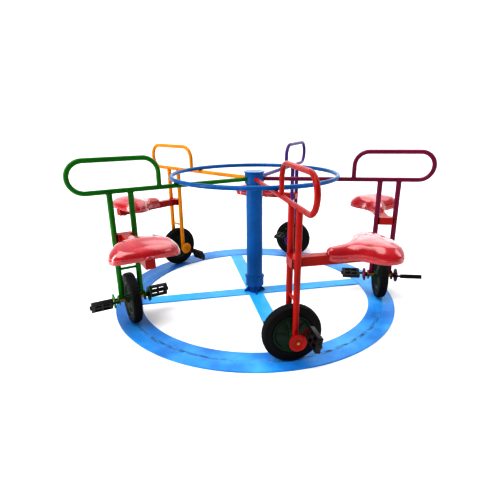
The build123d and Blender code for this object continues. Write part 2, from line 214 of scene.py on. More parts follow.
def maths(tree_nodes, links, operation, first, second=0.0, clamp=False):
    node = tree_nodes.new("ShaderNodeMath")
    node.operation = operation
    node.use_clamp = clamp
    for socket, value in zip(node.inputs, (first, second)):
        if isinstance(value, (int, float)):
            socket.default_value = value
        else:
            links.new(value, socket)
    return node.outputs[0]


def bump(tree_nodes, links, layers):
    """Chained bumps; each layer is (height, strength, distance in metres)."""
    normal = None
    for height, strength, distance in layers:
        node = tree_nodes.new("ShaderNodeBump")
        node.inputs["Strength"].default_value = strength
        node.inputs["Distance"].default_value = distance
        links.new(height, node.inputs["Height"])
        if normal is not None:
            links.new(normal, node.inputs["Normal"])
        normal = node.outputs["Normal"]
    return normal


def shaded(colour, factor):
    return tuple(max(0.0, min(1.0, channel * factor)) for channel in colour)


def enamel(name, colour, chips=0.5, dirt=0.35, gloss=0.28):
    """Brushed-on gloss enamel on steel: orange peel, faded patches, small chips and grime."""
    made, tree_nodes, links, shader = new_material(name)
    where = tree_nodes.new("ShaderNodeTexCoord").outputs["Object"]
    patches = noise_node(tree_nodes, links, where, 7.0, 5.0)
    streaks = noise_node(tree_nodes, links, where, 38.0, 6.0, 0.7)
    peel = noise_node(tree_nodes, links, where, 420.0, 2.0)
    chip_noise = noise_node(tree_nodes, links, where, 75.0, 8.0, 0.62)
    tone = ramp(
        tree_nodes, links, patches,
        [(0.3, shaded(colour, 0.78)), (0.52, colour), (0.75, shaded(colour, 1.25))],
    )
    tone = mix(
        tree_nodes, links,
        ramp(tree_nodes, links, streaks, [(0.42, 0.0), (0.8, dirt)]),
        tone, shaded(colour, 0.45),
    )
    chipped = ramp(
        tree_nodes, links, chip_noise, [(0.70 - 0.02 * chips, 0.0), (0.725, min(1.0, chips))]
    )
    tone = mix(tree_nodes, links, chipped, tone, (0.11, 0.09, 0.08))
    links.new(tone, shader.inputs["Base Color"])
    rough = ramp(tree_nodes, links, streaks, [(0.3, gloss), (0.75, gloss + 0.2)])
    rough = mix(tree_nodes, links, chipped, rough, (0.75, 0.75, 0.75))
    links.new(rough, shader.inputs["Roughness"])
    links.new(
        bump(tree_nodes, links, [(peel, 0.10, 0.0004), (patches, 0.2, 0.0006), (chipped, -0.35, 0.0003)]),
        shader.inputs["Normal"],
    )
    shader.inputs["Specular IOR Level"].default_value = 0.18
    shader.inputs["Coat Weight"].default_value = 0.06
    shader.inputs["Coat Roughness"].default_value = 0.08
    return made


def track_paint():
    """Bright blue paint on the flat track, scuffed where the tyres run."""
    made, tree_nodes, links, shader = new_material("track_paint")
    colour = (0.022, 0.250, 0.68)
    where = tree_nodes.new("ShaderNodeTexCoord").outputs["Object"]
    split = tree_nodes.new("ShaderNodeSeparateXYZ")
    links.new(where, split.inputs[0])
    across = maths(
        tree_nodes, links, "SQRT",
        maths(
            tree_nodes, links, "ADD",
            maths(tree_nodes, links, "MULTIPLY", split.outputs[0], split.outputs[0]),
            maths(tree_nodes, links, "MULTIPLY", split.outputs[1], split.outputs[1]),
        ),
    )
    turn = maths(tree_nodes, links, "ARCTAN2", split.outputs[1], split.outputs[0])
    ring_space = tree_nodes.new("ShaderNodeCombineXYZ")
    links.new(maths(tree_nodes, links, "MULTIPLY", turn, WHEEL_R), ring_space.inputs[0])
    links.new(maths(tree_nodes, links, "MULTIPLY", across, 6.0), ring_space.inputs[1])
    patches = noise_node(tree_nodes, links, where, 5.0, 6.0)
    fine = noise_node(tree_nodes, links, where, 60.0, 8.0, 0.7)
    dashes = noise_node(tree_nodes, links, ring_space.outputs[0], 22.0, 6.0, 0.65)
    # how near a point lies to the line that the tyres run on
    off_line = maths(
        tree_nodes, links, "ABSOLUTE", maths(tree_nodes, links, "SUBTRACT", across, WHEEL_R + 0.004)
    )
    lane = ramp(tree_nodes, links, off_line, [(0.004, 1.0), (0.026, 0.0)])
    line = ramp(tree_nodes, links, off_line, [(0.003, 1.0), (0.011, 0.0)])
    tone = ramp(
        tree_nodes, links, patches,
        [(0.30, (0.018, 0.135, 0.44)), (0.48, colour), (0.70, (0.065, 0.42, 0.88))],
    )
    # painted shade: the ring is painted a deeper blue on its side round 178 degrees, the side that lies in shade;
    # the cross bars have faded to a lighter blue
    painted_shade_side = maths(tree_nodes, links, "COSINE", maths(tree_nodes, links, "SUBTRACT", turn, math.radians(178)))
    on_ring = ramp(tree_nodes, links, across, [(0.60, 0.0), (0.65, 1.0)])
    tone = mix(
        tree_nodes, links,
        maths(
            tree_nodes, links, "MULTIPLY", ramp(tree_nodes, links, painted_shade_side, [(0.35, 0.0), (0.85, 0.9)]), on_ring
        ),
        tone, (0.010, 0.115, 0.36),
    )
    tone = mix(
        tree_nodes, links,
        ramp(tree_nodes, links, across, [(0.57, 0.45), (0.63, 0.0)]),
        tone, (0.03, 0.48, 0.86),
    )
    worn = mix(
        tree_nodes, links, ramp(tree_nodes, links, fine, [(0.45, 0.0), (0.7, 0.5)]), tone, (0.14, 0.50, 0.88)
    )
    tone = mix(tree_nodes, links, lane, tone, worn)
    marks = maths(
        tree_nodes, links, "MULTIPLY", line, ramp(tree_nodes, links, dashes, [(0.46, 0.0), (0.53, 0.95)])
    )
    # the black marks gather in three stretches of the ring and are faint between them
    stretches = 0.12
    for middle, spread in ((-116, 26), (-44, 30), (64, 24)):
        nearness = maths(
            tree_nodes, links, "COSINE", maths(tree_nodes, links, "SUBTRACT", turn, math.radians(middle))
        )
        near = tree_nodes.new("ShaderNodeMapRange")
        near.interpolation_type = "SMOOTHSTEP"
        near.inputs["From Min"].default_value = math.cos(math.radians(spread))
        near.inputs["From Max"].default_value = math.cos(math.radians(spread / 3))
        links.new(nearness, near.inputs["Value"])
        stretches = maths(tree_nodes, links, "ADD", near.outputs["Result"], stretches, clamp=True)
    marks = maths(tree_nodes, links, "MULTIPLY", marks, stretches)
    tone = mix(tree_nodes, links, marks, tone, (0.02, 0.06, 0.14))
    bright = maths(
        tree_nodes, links, "MULTIPLY", lane, ramp(tree_nodes, links, dashes, [(0.30, 0.7), (0.38, 0.0)])
    )
    tone = mix(tree_nodes, links, bright, tone, (0.38, 0.66, 0.88))
    links.new(tone, shader.inputs["Base Color"])
    rough = ramp(tree_nodes, links, fine, [(0.3, 0.3), (0.75, 0.55)])
    links.new(mix(tree_nodes, links, marks, rough, (0.8, 0.8, 0.8)), shader.inputs["Roughness"])
    links.new(
        bump(tree_nodes, links, [(fine, 0.12, 0.0005), (patches, 0.25, 0.002), (marks, -0.3, 0.0004)]),
        shader.inputs["Normal"],
    )
    shader.inputs["Specular IOR Level"].default_value = 0.3
    return made


def saddle_plastic():
    """Glossy red moulding with a pale painted sheen on its upward faces, and fine scratches."""
    made, tree_nodes, links, shader = new_material("saddle_plastic")
    colour = (0.40, 0.006, 0.014)
    texture = tree_nodes.new("ShaderNodeTexCoord")
    where = texture.outputs["Object"]
    facing = tree_nodes.new("ShaderNodeSeparateXYZ")
    links.new(texture.outputs["Normal"], facing.inputs[0])
    patches = noise_node(tree_nodes, links, where, 14.0, 5.0)
    stretched = tree_nodes.new("ShaderNodeMapping")
    stretched.inputs["Scale"].default_value = (220, 24, 60)
    links.new(where, stretched.inputs["Vector"])
    scratches = noise_node(tree_nodes, links, stretched.outputs["Vector"], 3.0, 8.0, 0.75)
    grain = noise_node(tree_nodes, links, where, 900.0, 2.0)
    # painted sheen: the upward faces are painted a patchy pale pink
    upward = ramp(tree_nodes, links, facing.outputs[2], [(0.55, 0.0), (1.0, 0.55)])
    painted_sheen = maths(
        tree_nodes, links, "MULTIPLY", upward, ramp(tree_nodes, links, patches, [(0.3, 0.2), (0.7, 1.0)])
    )
    tone = ramp(
        tree_nodes, links, patches,
        [(0.3, shaded(colour, 0.80)), (0.55, colour), (0.8, (0.50, 0.012, 0.024))],
    )
    tone = mix(tree_nodes, links, painted_sheen, tone, (0.66, 0.07, 0.10))
    tone = mix(
        tree_nodes, links,
        ramp(tree_nodes, links, scratches, [(0.66, 0.0), (0.74, 0.25)]),
        tone, (0.85, 0.30, 0.28),
    )
    links.new(tone, shader.inputs["Base Color"])
    links.new(
        ramp(tree_nodes, links, scratches, [(0.35, 0.16), (0.75, 0.38)]), shader.inputs["Roughness"]
    )
    links.new(
        bump(tree_nodes, links, [(grain, 0.05, 0.0002), (patches, 0.12, 0.0015), (scratches, 0.05, 0.0003)]),
        shader.inputs["Normal"],
    )
    shader.inputs["Coat Weight"].default_value = 1.0
    shader.inputs["Coat Roughness"].default_value = 0.14
    shader.inputs["Subsurface Weight"].default_value = 0.04
    shader.inputs["Subsurface Radius"].default_value = (0.004, 0.0008, 0.0006)
    return made


def rubber():
    """Black tyre rubber with dust in the tread and scuffed sidewalls."""
    made, tree_nodes, links, shader = new_material("tyre_rubber")
    where = tree_nodes.new("ShaderNodeTexCoord").outputs["Object"]
    dust = noise_node(tree_nodes, links, where, 30.0, 7.0, 0.65)
    grain = noise_node(tree_nodes, links, where, 700.0, 3.0, 0.6)
    tone = ramp(
        tree_nodes, links, dust,
        [(0.3, (0.002, 0.002, 0.0022)), (0.6, (0.005, 0.005, 0.0055)), (0.85, (0.024, 0.022, 0.020))],
    )
    links.new(tone, shader.inputs["Base Color"])
    links.new(ramp(tree_nodes, links, dust, [(0.3, 0.5), (0.8, 0.85)]), shader.inputs["Roughness"])
    links.new(
        bump(tree_nodes, links, [(grain, 0.25, 0.0003), (dust, 0.15, 0.0006)]), shader.inputs["Normal"]
    )
    shader.inputs["Specular IOR Level"].default_value = 0.2
    return made


def moulded(name, colour, gloss):
    """Hard moulded plastic with a faint grain, rubbed marks and dust."""
    made, tree_nodes, links, shader = new_material(name)
    where = tree_nodes.new("ShaderNodeTexCoord").outputs["Object"]
    rub = noise_node(tree_nodes, links, where, 45.0, 6.0, 0.7)
    grain = noise_node(tree_nodes, links, where, 1100.0, 2.0)
    tone = ramp(
        tree_nodes, links, rub,
        [(0.3, shaded(colour, 0.7)), (0.6, colour), (0.82, tuple(c * 0.8 + 0.022 for c in colour))],
    )
    links.new(tone, shader.inputs["Base Color"])
    links.new(ramp(tree_nodes, links, rub, [(0.3, gloss), (0.8, gloss + 0.25)]), shader.inputs["Roughness"])
    links.new(bump(tree_nodes, links, [(grain, 0.2, 0.0002), (rub, 0.1, 0.0005)]), shader.inputs["Normal"])
    shader.inputs["Specular IOR Level"].default_value = 0.3
    return made


def bare_metal(name, colour, gloss):
    """Turned metal with fine rings, tarnish and handling marks."""
    made, tree_nodes, links, shader = new_material(name)
    where = tree_nodes.new("ShaderNodeTexCoord").outputs["Object"]
    tarnish = noise_node(tree_nodes, links, where, 90.0, 6.0, 0.65)
    fine = noise_node(tree_nodes, links, where, 1500.0, 2.0)
    tone = ramp(
        tree_nodes, links, tarnish,
        [(0.3, shaded(colour, 0.55)), (0.55, colour), (0.8, shaded(colour, 1.15))],
    )
    links.new(tone, shader.inputs["Base Color"])
    links.new(
        ramp(tree_nodes, links, tarnish, [(0.3, gloss + 0.25), (0.75, gloss)]), shader.inputs["Roughness"]
    )
    links.new(
        bump(tree_nodes, links, [(fine, 0.15, 0.0001), (tarnish, 0.15, 0.0003)]), shader.inputs["Normal"]
    )
    shader.inputs["Metallic"].default_value = 1.0
    return made


UNIT_COLOURS = {
    "magenta_paint": (0.15, 0.003, 0.038),
    "violet_paint": (0.07, 0.024, 0.17),
    "yellow_paint": (0.66, 0.235, 0.003),
    "green_paint": (0.003, 0.14, 0.001),
    "red_paint": (0.33, 0.005, 0.002),
}
# painted shade: the cranks' thin paint is each unit's colour made much darker, for the shade the cranks lie in,
# with heavy chips and grime on top
SHADED_CRANK_PAINTS = {
    name: enamel(name.replace("paint", "crank"), shaded(colour, 0.22), chips=0.9, dirt=0.8, gloss=0.42)
    for name, colour in UNIT_COLOURS.items()
}
MATERIALS = {
    **{name: enamel(name, colour) for name, colour in UNIT_COLOURS.items()},
    "track_paint": track_paint(),
    "blue_paint": enamel("blue_paint", (0.0005, 0.098, 0.31), chips=0.5),
    "saddle_plastic": saddle_plastic(),
    "tyre_rubber": rubber(),
    "wheel_green": moulded("wheel_green", (0.001, 0.022, 0.006), 0.38),
    "pedal_plastic": moulded("pedal_plastic", (0.003, 0.003, 0.0035), 0.34),
    "brass": bare_metal("brass", (0.42, 0.28, 0.08), 0.28),
    "bright_steel": bare_metal("bright_steel", (0.55, 0.55, 0.57), 0.22),
}
for row in frame["record"]["subparts"]:
    piece = nodes[row["node"]]
    piece.data.materials.clear()
    finishes = SHADED_CRANK_PAINTS if row["node"].endswith("_crank") else MATERIALS
    piece.data.materials.append(finishes[row["material_slot"]])

# ---------------------------------------------------------------- saddle
# all in millimetres
SADDLE_SKIRT = 16
CREASE = 1.6
# how far behind the nose, half width, rim height and crown height, all in millimetres, where
# the heights are measured from the seat bar's top face
SADDLE_STATIONS = (
    (0, 4, -4, 2),
    (2, 13, -14, 12),
    (6, 20, -21, 19),
    (16, 27, -25, 26),
    (32, 31, -27, 29),
    (55, 34, -27, 32),
    (80, 39, -24, 36),
    (106, 54, -20, 43),
    (134, 88, -17, 55),
    (160, 118, -16, 65),
    (185, 134, -15, 70),
    (208, 139, -14, 69),
    (228, 138, -13, 64),
    (246, 131, -12, 57),
    (261, 118, -10, 49),
    (273, 98, -7, 41),
    (282, 72, -4, 33),
    (288, 42, -1, 23),
    (291, 14, 2, 12),
)


def smooth_value(stations, column, where):
    """A station column read between its stations on a smooth curve."""
    spots = [row[0] for row in stations]
    values = [row[column] for row in stations]
    last = len(spots) - 1
    i = max(0, min(last - 1, sum(1 for spot in spots if spot <= where) - 1))
    low, high = max(i - 1, 0), min(i + 2, last)
    gap = spots[i + 1] - spots[i]
    share = max(0.0, min(1.0, (where - spots[i]) / gap))
    slope_a = (values[i + 1] - values[low]) / (spots[i + 1] - spots[low]) * gap
    slope_b = (values[high] - values[i]) / (spots[high] - spots[i]) * gap
    square, cube = share * share, share ** 3
    return (
        values[i] * (2 * cube - 3 * square + 1)
        + slope_a * (cube - 2 * square + share)
        + values[i + 1] * (3 * square - 2 * cube)
        + slope_b * (cube - square)
    )




def saddle_height(where, share):
    """The shallow dish in the seat and the ridge that runs round it, in millimetres."""
    wake = max(0.0, min(1.0, (where - 105) / 55)) * max(0.0, min(1.0, (288 - where) / 34))
    wake = wake * wake * (3 - 2 * wake)
    hollow = max(0.0, min(1.0, (0.74 - share) / 0.44))
    hollow = hollow * hollow * (3 - 2 * hollow)
    ridge = math.exp(-(((share - 0.76) / 0.075) ** 2))
    along_nose = math.exp(-(((share - 0.0) / 0.16) ** 2)) * max(0.0, 1 - abs(where - 60) / 50)
    return wake * (2.4 * ridge - 5.5 * hollow) + 1.2 * along_nose


def saddle_mesh(name):
    """The moulded saddle: a dome over a creased skirt, closed underneath, on the +X unit."""
    length = SADDLE_STATIONS[-1][0]
    wheres = []
    for i in range(97):
        share = i / 96
        wheres.append(length * (0.5 - 0.5 * math.cos(math.pi * share)) * 0.55 + length * share * 0.45)
    points = []
    columns = 0
    for where in wheres:
        half = smooth_value(SADDLE_STATIONS, 1, where)
        rim = smooth_value(SADDLE_STATIONS, 2, where)
        crown = smooth_value(SADDLE_STATIONS, 3, where)
        height = crown - rim
        skirt = min(SADDLE_SKIRT, 0.32 * height)
        step = min(CREASE, 0.1 * half)
        side = [(half - 1.2, rim), (half - 0.3, rim + 0.8), (half, rim + 2.2)]
        side += [(half - 0.02 * skirt * k, rim + 2.2 + (skirt - 2.2) * k / 4) for k in range(1, 5)]
        base = half - step - 0.08 * skirt
        side += [(base + 0.4 * step, rim + skirt + 0.5), (base, rim + skirt + 1.0)]
        foot = rim + skirt + 1.0
        for k in range(1, 23):
            turn = math.radians(90 * k / 22)
            across = base * math.cos(turn) ** 0.95 if k < 22 else 0.0
            share = across / half if half > 1 else 0.0
            lift = saddle_height(where, share) * min(1.0, height / 60)
            side.append((across, foot + (crown - foot) * math.sin(turn) ** 1.08 + lift))
        loop = side + [(-x, z) for x, z in side[-2::-1]]
        lip = min(4.0, half * 0.3)
        under = [(-half + lip, rim + 0.4), (-half + lip + 1, rim + 0.12 * height)]
        reach = half - lip - 1
        under += [(-reach + 2 * reach * k / 24, rim + 0.12 * height) for k in range(1, 24)]
        under += [(half - lip - 1, rim + 0.12 * height), (half - lip, rim + 0.4)]
        loop += under
        columns = len(loop)
        for x, z in loop:
            points.append((WHEEL_R + x * MM, SADDLE_START + where * MM, BAR_TOP + z * MM))
    faces = grid_faces(len(wheres), columns, False, True)
    faces.append(tuple(range(columns)))
    faces.append(tuple((len(wheres) - 1) * columns + j for j in range(columns))[::-1])
    return mesh_object(name, points, faces)


# ---------------------------------------------------------------- wheel
def tyre_profile():
    """Half of the tyre's outline, from the middle of the tread to the bead, in metres."""
    half = TYRE_HALF - 0.4 * MM
    top = TYRE_R - 0.3 * MM
    bead = RIM_R + 0.3 * MM
    outline = []
    for x, depth in (
        (0.0, 2.2), (1.6, 2.2), (2.0, 0.1), (6.4, 0.1), (6.8, 2.0), (9.2, 2.0), (9.6, 0.4), (13.0, 1.2),
    ):
        outline.append((x * MM, top - depth * MM))
    for k in range(1, 10):
        turn = math.radians(10 + 8.5 * k)
        outline.append(
            (half - 9.5 * MM + 9.3 * MM * math.sin(turn), top - 10 * MM + 8.4 * MM * math.cos(turn))
        )
    wall = top - 11 * MM
    for share, out in (
        (0.12, 0.2), (0.2, 0.2), (0.24, -0.5), (0.3, -0.5), (0.34, 0.1), (0.55, 0.0),
        (0.6, 0.5), (0.68, 0.5), (0.72, -0.2), (0.84, -1.6), (0.92, -3.2), (1.0, -5.2),
    ):
        outline.append((half + out * MM - 0.35 * MM, wall + (bead - wall) * share))
    return outline


def tread(along, radius, turn):
    """Cross cuts in the tyre's shoulders and shallow ones in the middle ribs."""
    cuts = 46
    side = 1 if along > 0 else -1
    phase = (turn * cuts / (2 * math.pi) + 0.25 * side) % 1.0
    edge = abs(along)
    if 0.009 < edge < 0.020 and radius > TYRE_R - 9 * MM and phase < 0.24:
        return along, radius - 1.9 * MM
    if 0.001 < edge < 0.0066 and phase < 0.12:
        return along, radius - 0.7 * MM
    return along, radius


def lathe(name, profile, steps, shape=None):
    """A closed profile of (along X, radius) turned round the X axis; shape may move a point."""
    points = []
    for i in range(steps):
        turn = 2 * math.pi * i / steps
        for along, radius in profile:
            if shape:
                x, reach = shape(along, radius, turn)
            else:
                x, reach = along, radius
            points.append((x, reach * math.cos(turn), reach * math.sin(turn)))
    return mesh_object(name, points, grid_faces(steps, len(profile), True, True))


def tyre_mesh(name):
    right = tyre_profile()
    left = [(-x, radius) for x, radius in right[:0:-1]]
    return lathe(name, left + right, 368, tread)


def disc_mesh(name):
    """The wheel's dished disc with a rolled rim, a raised hub and five pressed ribs."""
    hub = HUB_HALF - 0.2 * MM
    right = [
        (hub, 8.6), (hub, 15.0), (hub - 0.9 * MM, 17.2), (hub - 2.6 * MM, 19.0),
        (22 * MM, 20.0), (15 * MM, 21.4), (12.4 * MM, 24.5), (10.6 * MM, 30.0), (8.9 * MM, 37.0),
        (7.4 * MM, 44.0), (6.0 * MM, 51.0), (4.9 * MM, 57.0), (4.3 * MM, 62.0), (4.2 * MM, 65.5),
        (5.6 * MM, 68.6), (9.2 * MM, 71.6), (13.4 * MM, 73.6), (15.8 * MM, 75.2), (16.6 * MM, 77.2),
        (16.7 * MM, 79.8), (16.3 * MM, 82.2),
    ]
    right = [(along, radius * MM) for along, radius in right]
    left = [(-along, radius) for along, radius in right[::-1]]

    def ribs(along, radius, turn):
        if not 0.024 < radius < 0.066:
            return along, radius
        swing = abs(((turn * 5 / (2 * math.pi)) % 1.0) - 0.5) * 2
        rise = max(0.0, 1 - swing * radius / 0.0115) if swing < 0.6 else 0.0
        rise = rise * rise * (3 - 2 * rise)
        fade = min(1.0, (radius - 0.024) / 0.006) * min(1.0, (0.066 - radius) / 0.006)
        return along + math.copysign(3.4 * MM * rise * fade, along), radius

    return lathe(name, left + right, 200, ribs)


def hex_bolt(name, across, height):
    """A hexagon head with a chamfered face and a domed shank end, along +X from the origin."""
    points, rows = [], 0
    flats = across / 2
    for x, scale, roundness in (
        (0.0, 1.0, 0.0), (height * 0.72, 1.0, 0.0), (height * 0.9, 0.965, 0.35),
        (height, 0.86, 1.0), (height, 0.52, 1.0), (height * 1.28, 0.48, 1.0), (height * 1.42, 0.36, 1.0),
        (height * 1.46, 0.12, 1.0),
    ):
        rows += 1
        for j in range(36):
            turn = 2 * math.pi * j / 36
            corner = ((turn + math.pi / 6) % (math.pi / 3)) - math.pi / 6
            hexed = flats / math.cos(corner)
            reach = (hexed * (1 - roundness) + flats * roundness) * scale
            points.append((x, reach * math.cos(turn), reach * math.sin(turn)))
    faces = grid_faces(rows, 36, False, True)
    faces.append(tuple(range(36))[::-1])
    faces.append(tuple((rows - 1) * 36 + j for j in range(36)))
    return mesh_object(name, points, faces, smooth=False)


def joined(name, pieces):
    """One object made of several, in the first one's place."""
    bpy.ops.object.select_all(action="DESELECT")
    for piece in pieces:
        piece.select_set(True)
    bpy.context.view_layer.objects.active = pieces[0]
    bpy.ops.object.join()
    pieces[0].name = name
    pieces[0].data.name = name
    return pieces[0]


# ---------------------------------------------------------------- pedal
def box_soft(low, high, edge, steps=3):
    """A box with rounded edges and corners, as points and faces."""
    low, high = Vector(low), Vector(high)
    centre = (low + high) / 2
    half = (high - low) / 2
    core = Vector((max(half.x - edge, 0), max(half.y - edge, 0), max(half.z - edge, 0)))
    rings, around = 2 * steps + 2, 4 * (steps + 1)
    points = []
    for i in range(rings):
        side = -1 if i <= steps else 1
        lean = -math.pi / 2 + math.pi / 2 * i / steps if side < 0 else math.pi / 2 * (i - steps - 1) / steps
        for j in range(around):
            quarter = j // (steps + 1)
            turn = math.pi / 2 * quarter + math.pi / 2 * (j % (steps + 1)) / steps
            sx = 1 if quarter in (0, 3) else -1
            sy = 1 if quarter in (0, 1) else -1
            points.append((
                centre.x + sx * core.x + edge * math.cos(lean) * math.cos(turn),
                centre.y + sy * core.y + edge * math.cos(lean) * math.sin(turn),
                centre.z + side * core.z + edge * math.sin(lean),
            ))
    faces = grid_faces(rings, around, False, True)
    faces.append(tuple(range(around))[::-1])
    faces.append(tuple((rings - 1) * around + j for j in range(around)))
    return points, faces


def pedal_mesh(name):
    """A moulded block pedal, flat in the XY plane round its barrel on the X axis."""
    long_half, wide_half, thick = PEDAL_HALF - 0.2 * MM, 30.8 * MM, PEDAL_THICK / 2 - 0.2 * MM
    parts = []

    def block(low, high, edge):
        parts.append(box_soft(low, high, edge))

    rail = 9 * MM
    for side in (1, -1):
        block((-long_half, min(side * wide_half, side * (wide_half - rail)), -thick),
              (long_half, max(side * wide_half, side * (wide_half - rail)), thick), 2.4 * MM)
        end_low, end_high = sorted((side * long_half, side * (long_half - 16 * MM)))
        block(
            (end_low, -wide_half + 1 * MM, -thick + 0.6 * MM),
            (end_high, wide_half - 1 * MM, thick - 0.6 * MM), 2.2 * MM,
        )
        # grip teeth on the rails' upper and lower faces, set within the block's thickness
        for k in range(13):
            x = -long_half + 6.5 * MM + k * (2 * long_half - 13 * MM) / 12
            for face in (1, -1):
                z_low, z_high = sorted((face * (thick - 1.2 * MM), face * (thick + 0.15 * MM)))
                y = side * (wide_half - rail / 2)
                block((x - 1.7 * MM, y - 2.9 * MM, z_low), (x + 1.7 * MM, y + 2.9 * MM, z_high), 0.5 * MM)
    block(
        (-4 * MM, -wide_half + 2 * MM, -thick + 1.2 * MM),
        (4 * MM, wide_half - 2 * MM, thick - 1.2 * MM), 1.6 * MM,
    )
    points, faces = [], []
    for part_points, part_faces in parts:
        start = len(points)
        points += part_points
        faces += [tuple(start + index for index in face) for face in part_faces]
    made = mesh_object(name + "_blocks", points, faces)
    barrel = lathe(
        name + "_barrel",
        [
            (-long_half, 5.3 * MM), (-long_half, 8.8 * MM), (-long_half + 1 * MM, 9.8 * MM),
            (-14 * MM, 9.8 * MM), (-13 * MM, 9.2 * MM), (13 * MM, 9.2 * MM), (14 * MM, 9.8 * MM),
            (long_half - 1 * MM, 9.8 * MM), (long_half, 8.8 * MM), (long_half, 5.3 * MM),
        ],
        40,
    )
    return joined(name, [made, barrel])


def pedal_tip(node_name, centre, turn_back):
    """How far a pedal is tipped round its own axis, from the spread of its solid."""
    yy = zz = yz = 0.0
    for vertex in nodes[node_name].data.vertices:
        spot = turn_back @ vertex.co
        y, z = spot.y - centre.y, spot.z - centre.z
        yy += y * y
        zz += z * z
        yz += y * z
    return 0.5 * math.atan2(2 * yz, yy - zz)


# ---------------------------------------------------------------- welds
def bead(name, path, closed=True, width=2.1 * MM, body="rotor", matrix=Matrix(), slot_name="blue_paint"):
    """A weld bead along a path, painted over."""
    made = tube_along(name, path, width, 8, closed, ripple=0.30, seed=len(name) * 1.7)
    return place(made, matrix, body, MATERIALS[slot_name])


def saddled_circle(tube_r, main_r, steps=48):
    """Where a tube of one radius meets a crosswise tube of another: (cos, sin, along) parts."""
    ring = []
    for k in range(steps):
        turn = 2 * math.pi * k / steps
        y = tube_r * math.sin(turn)
        ring.append((tube_r * math.cos(turn), y, math.sqrt(max(main_r ** 2 - y ** 2, 0.0))))
    return ring


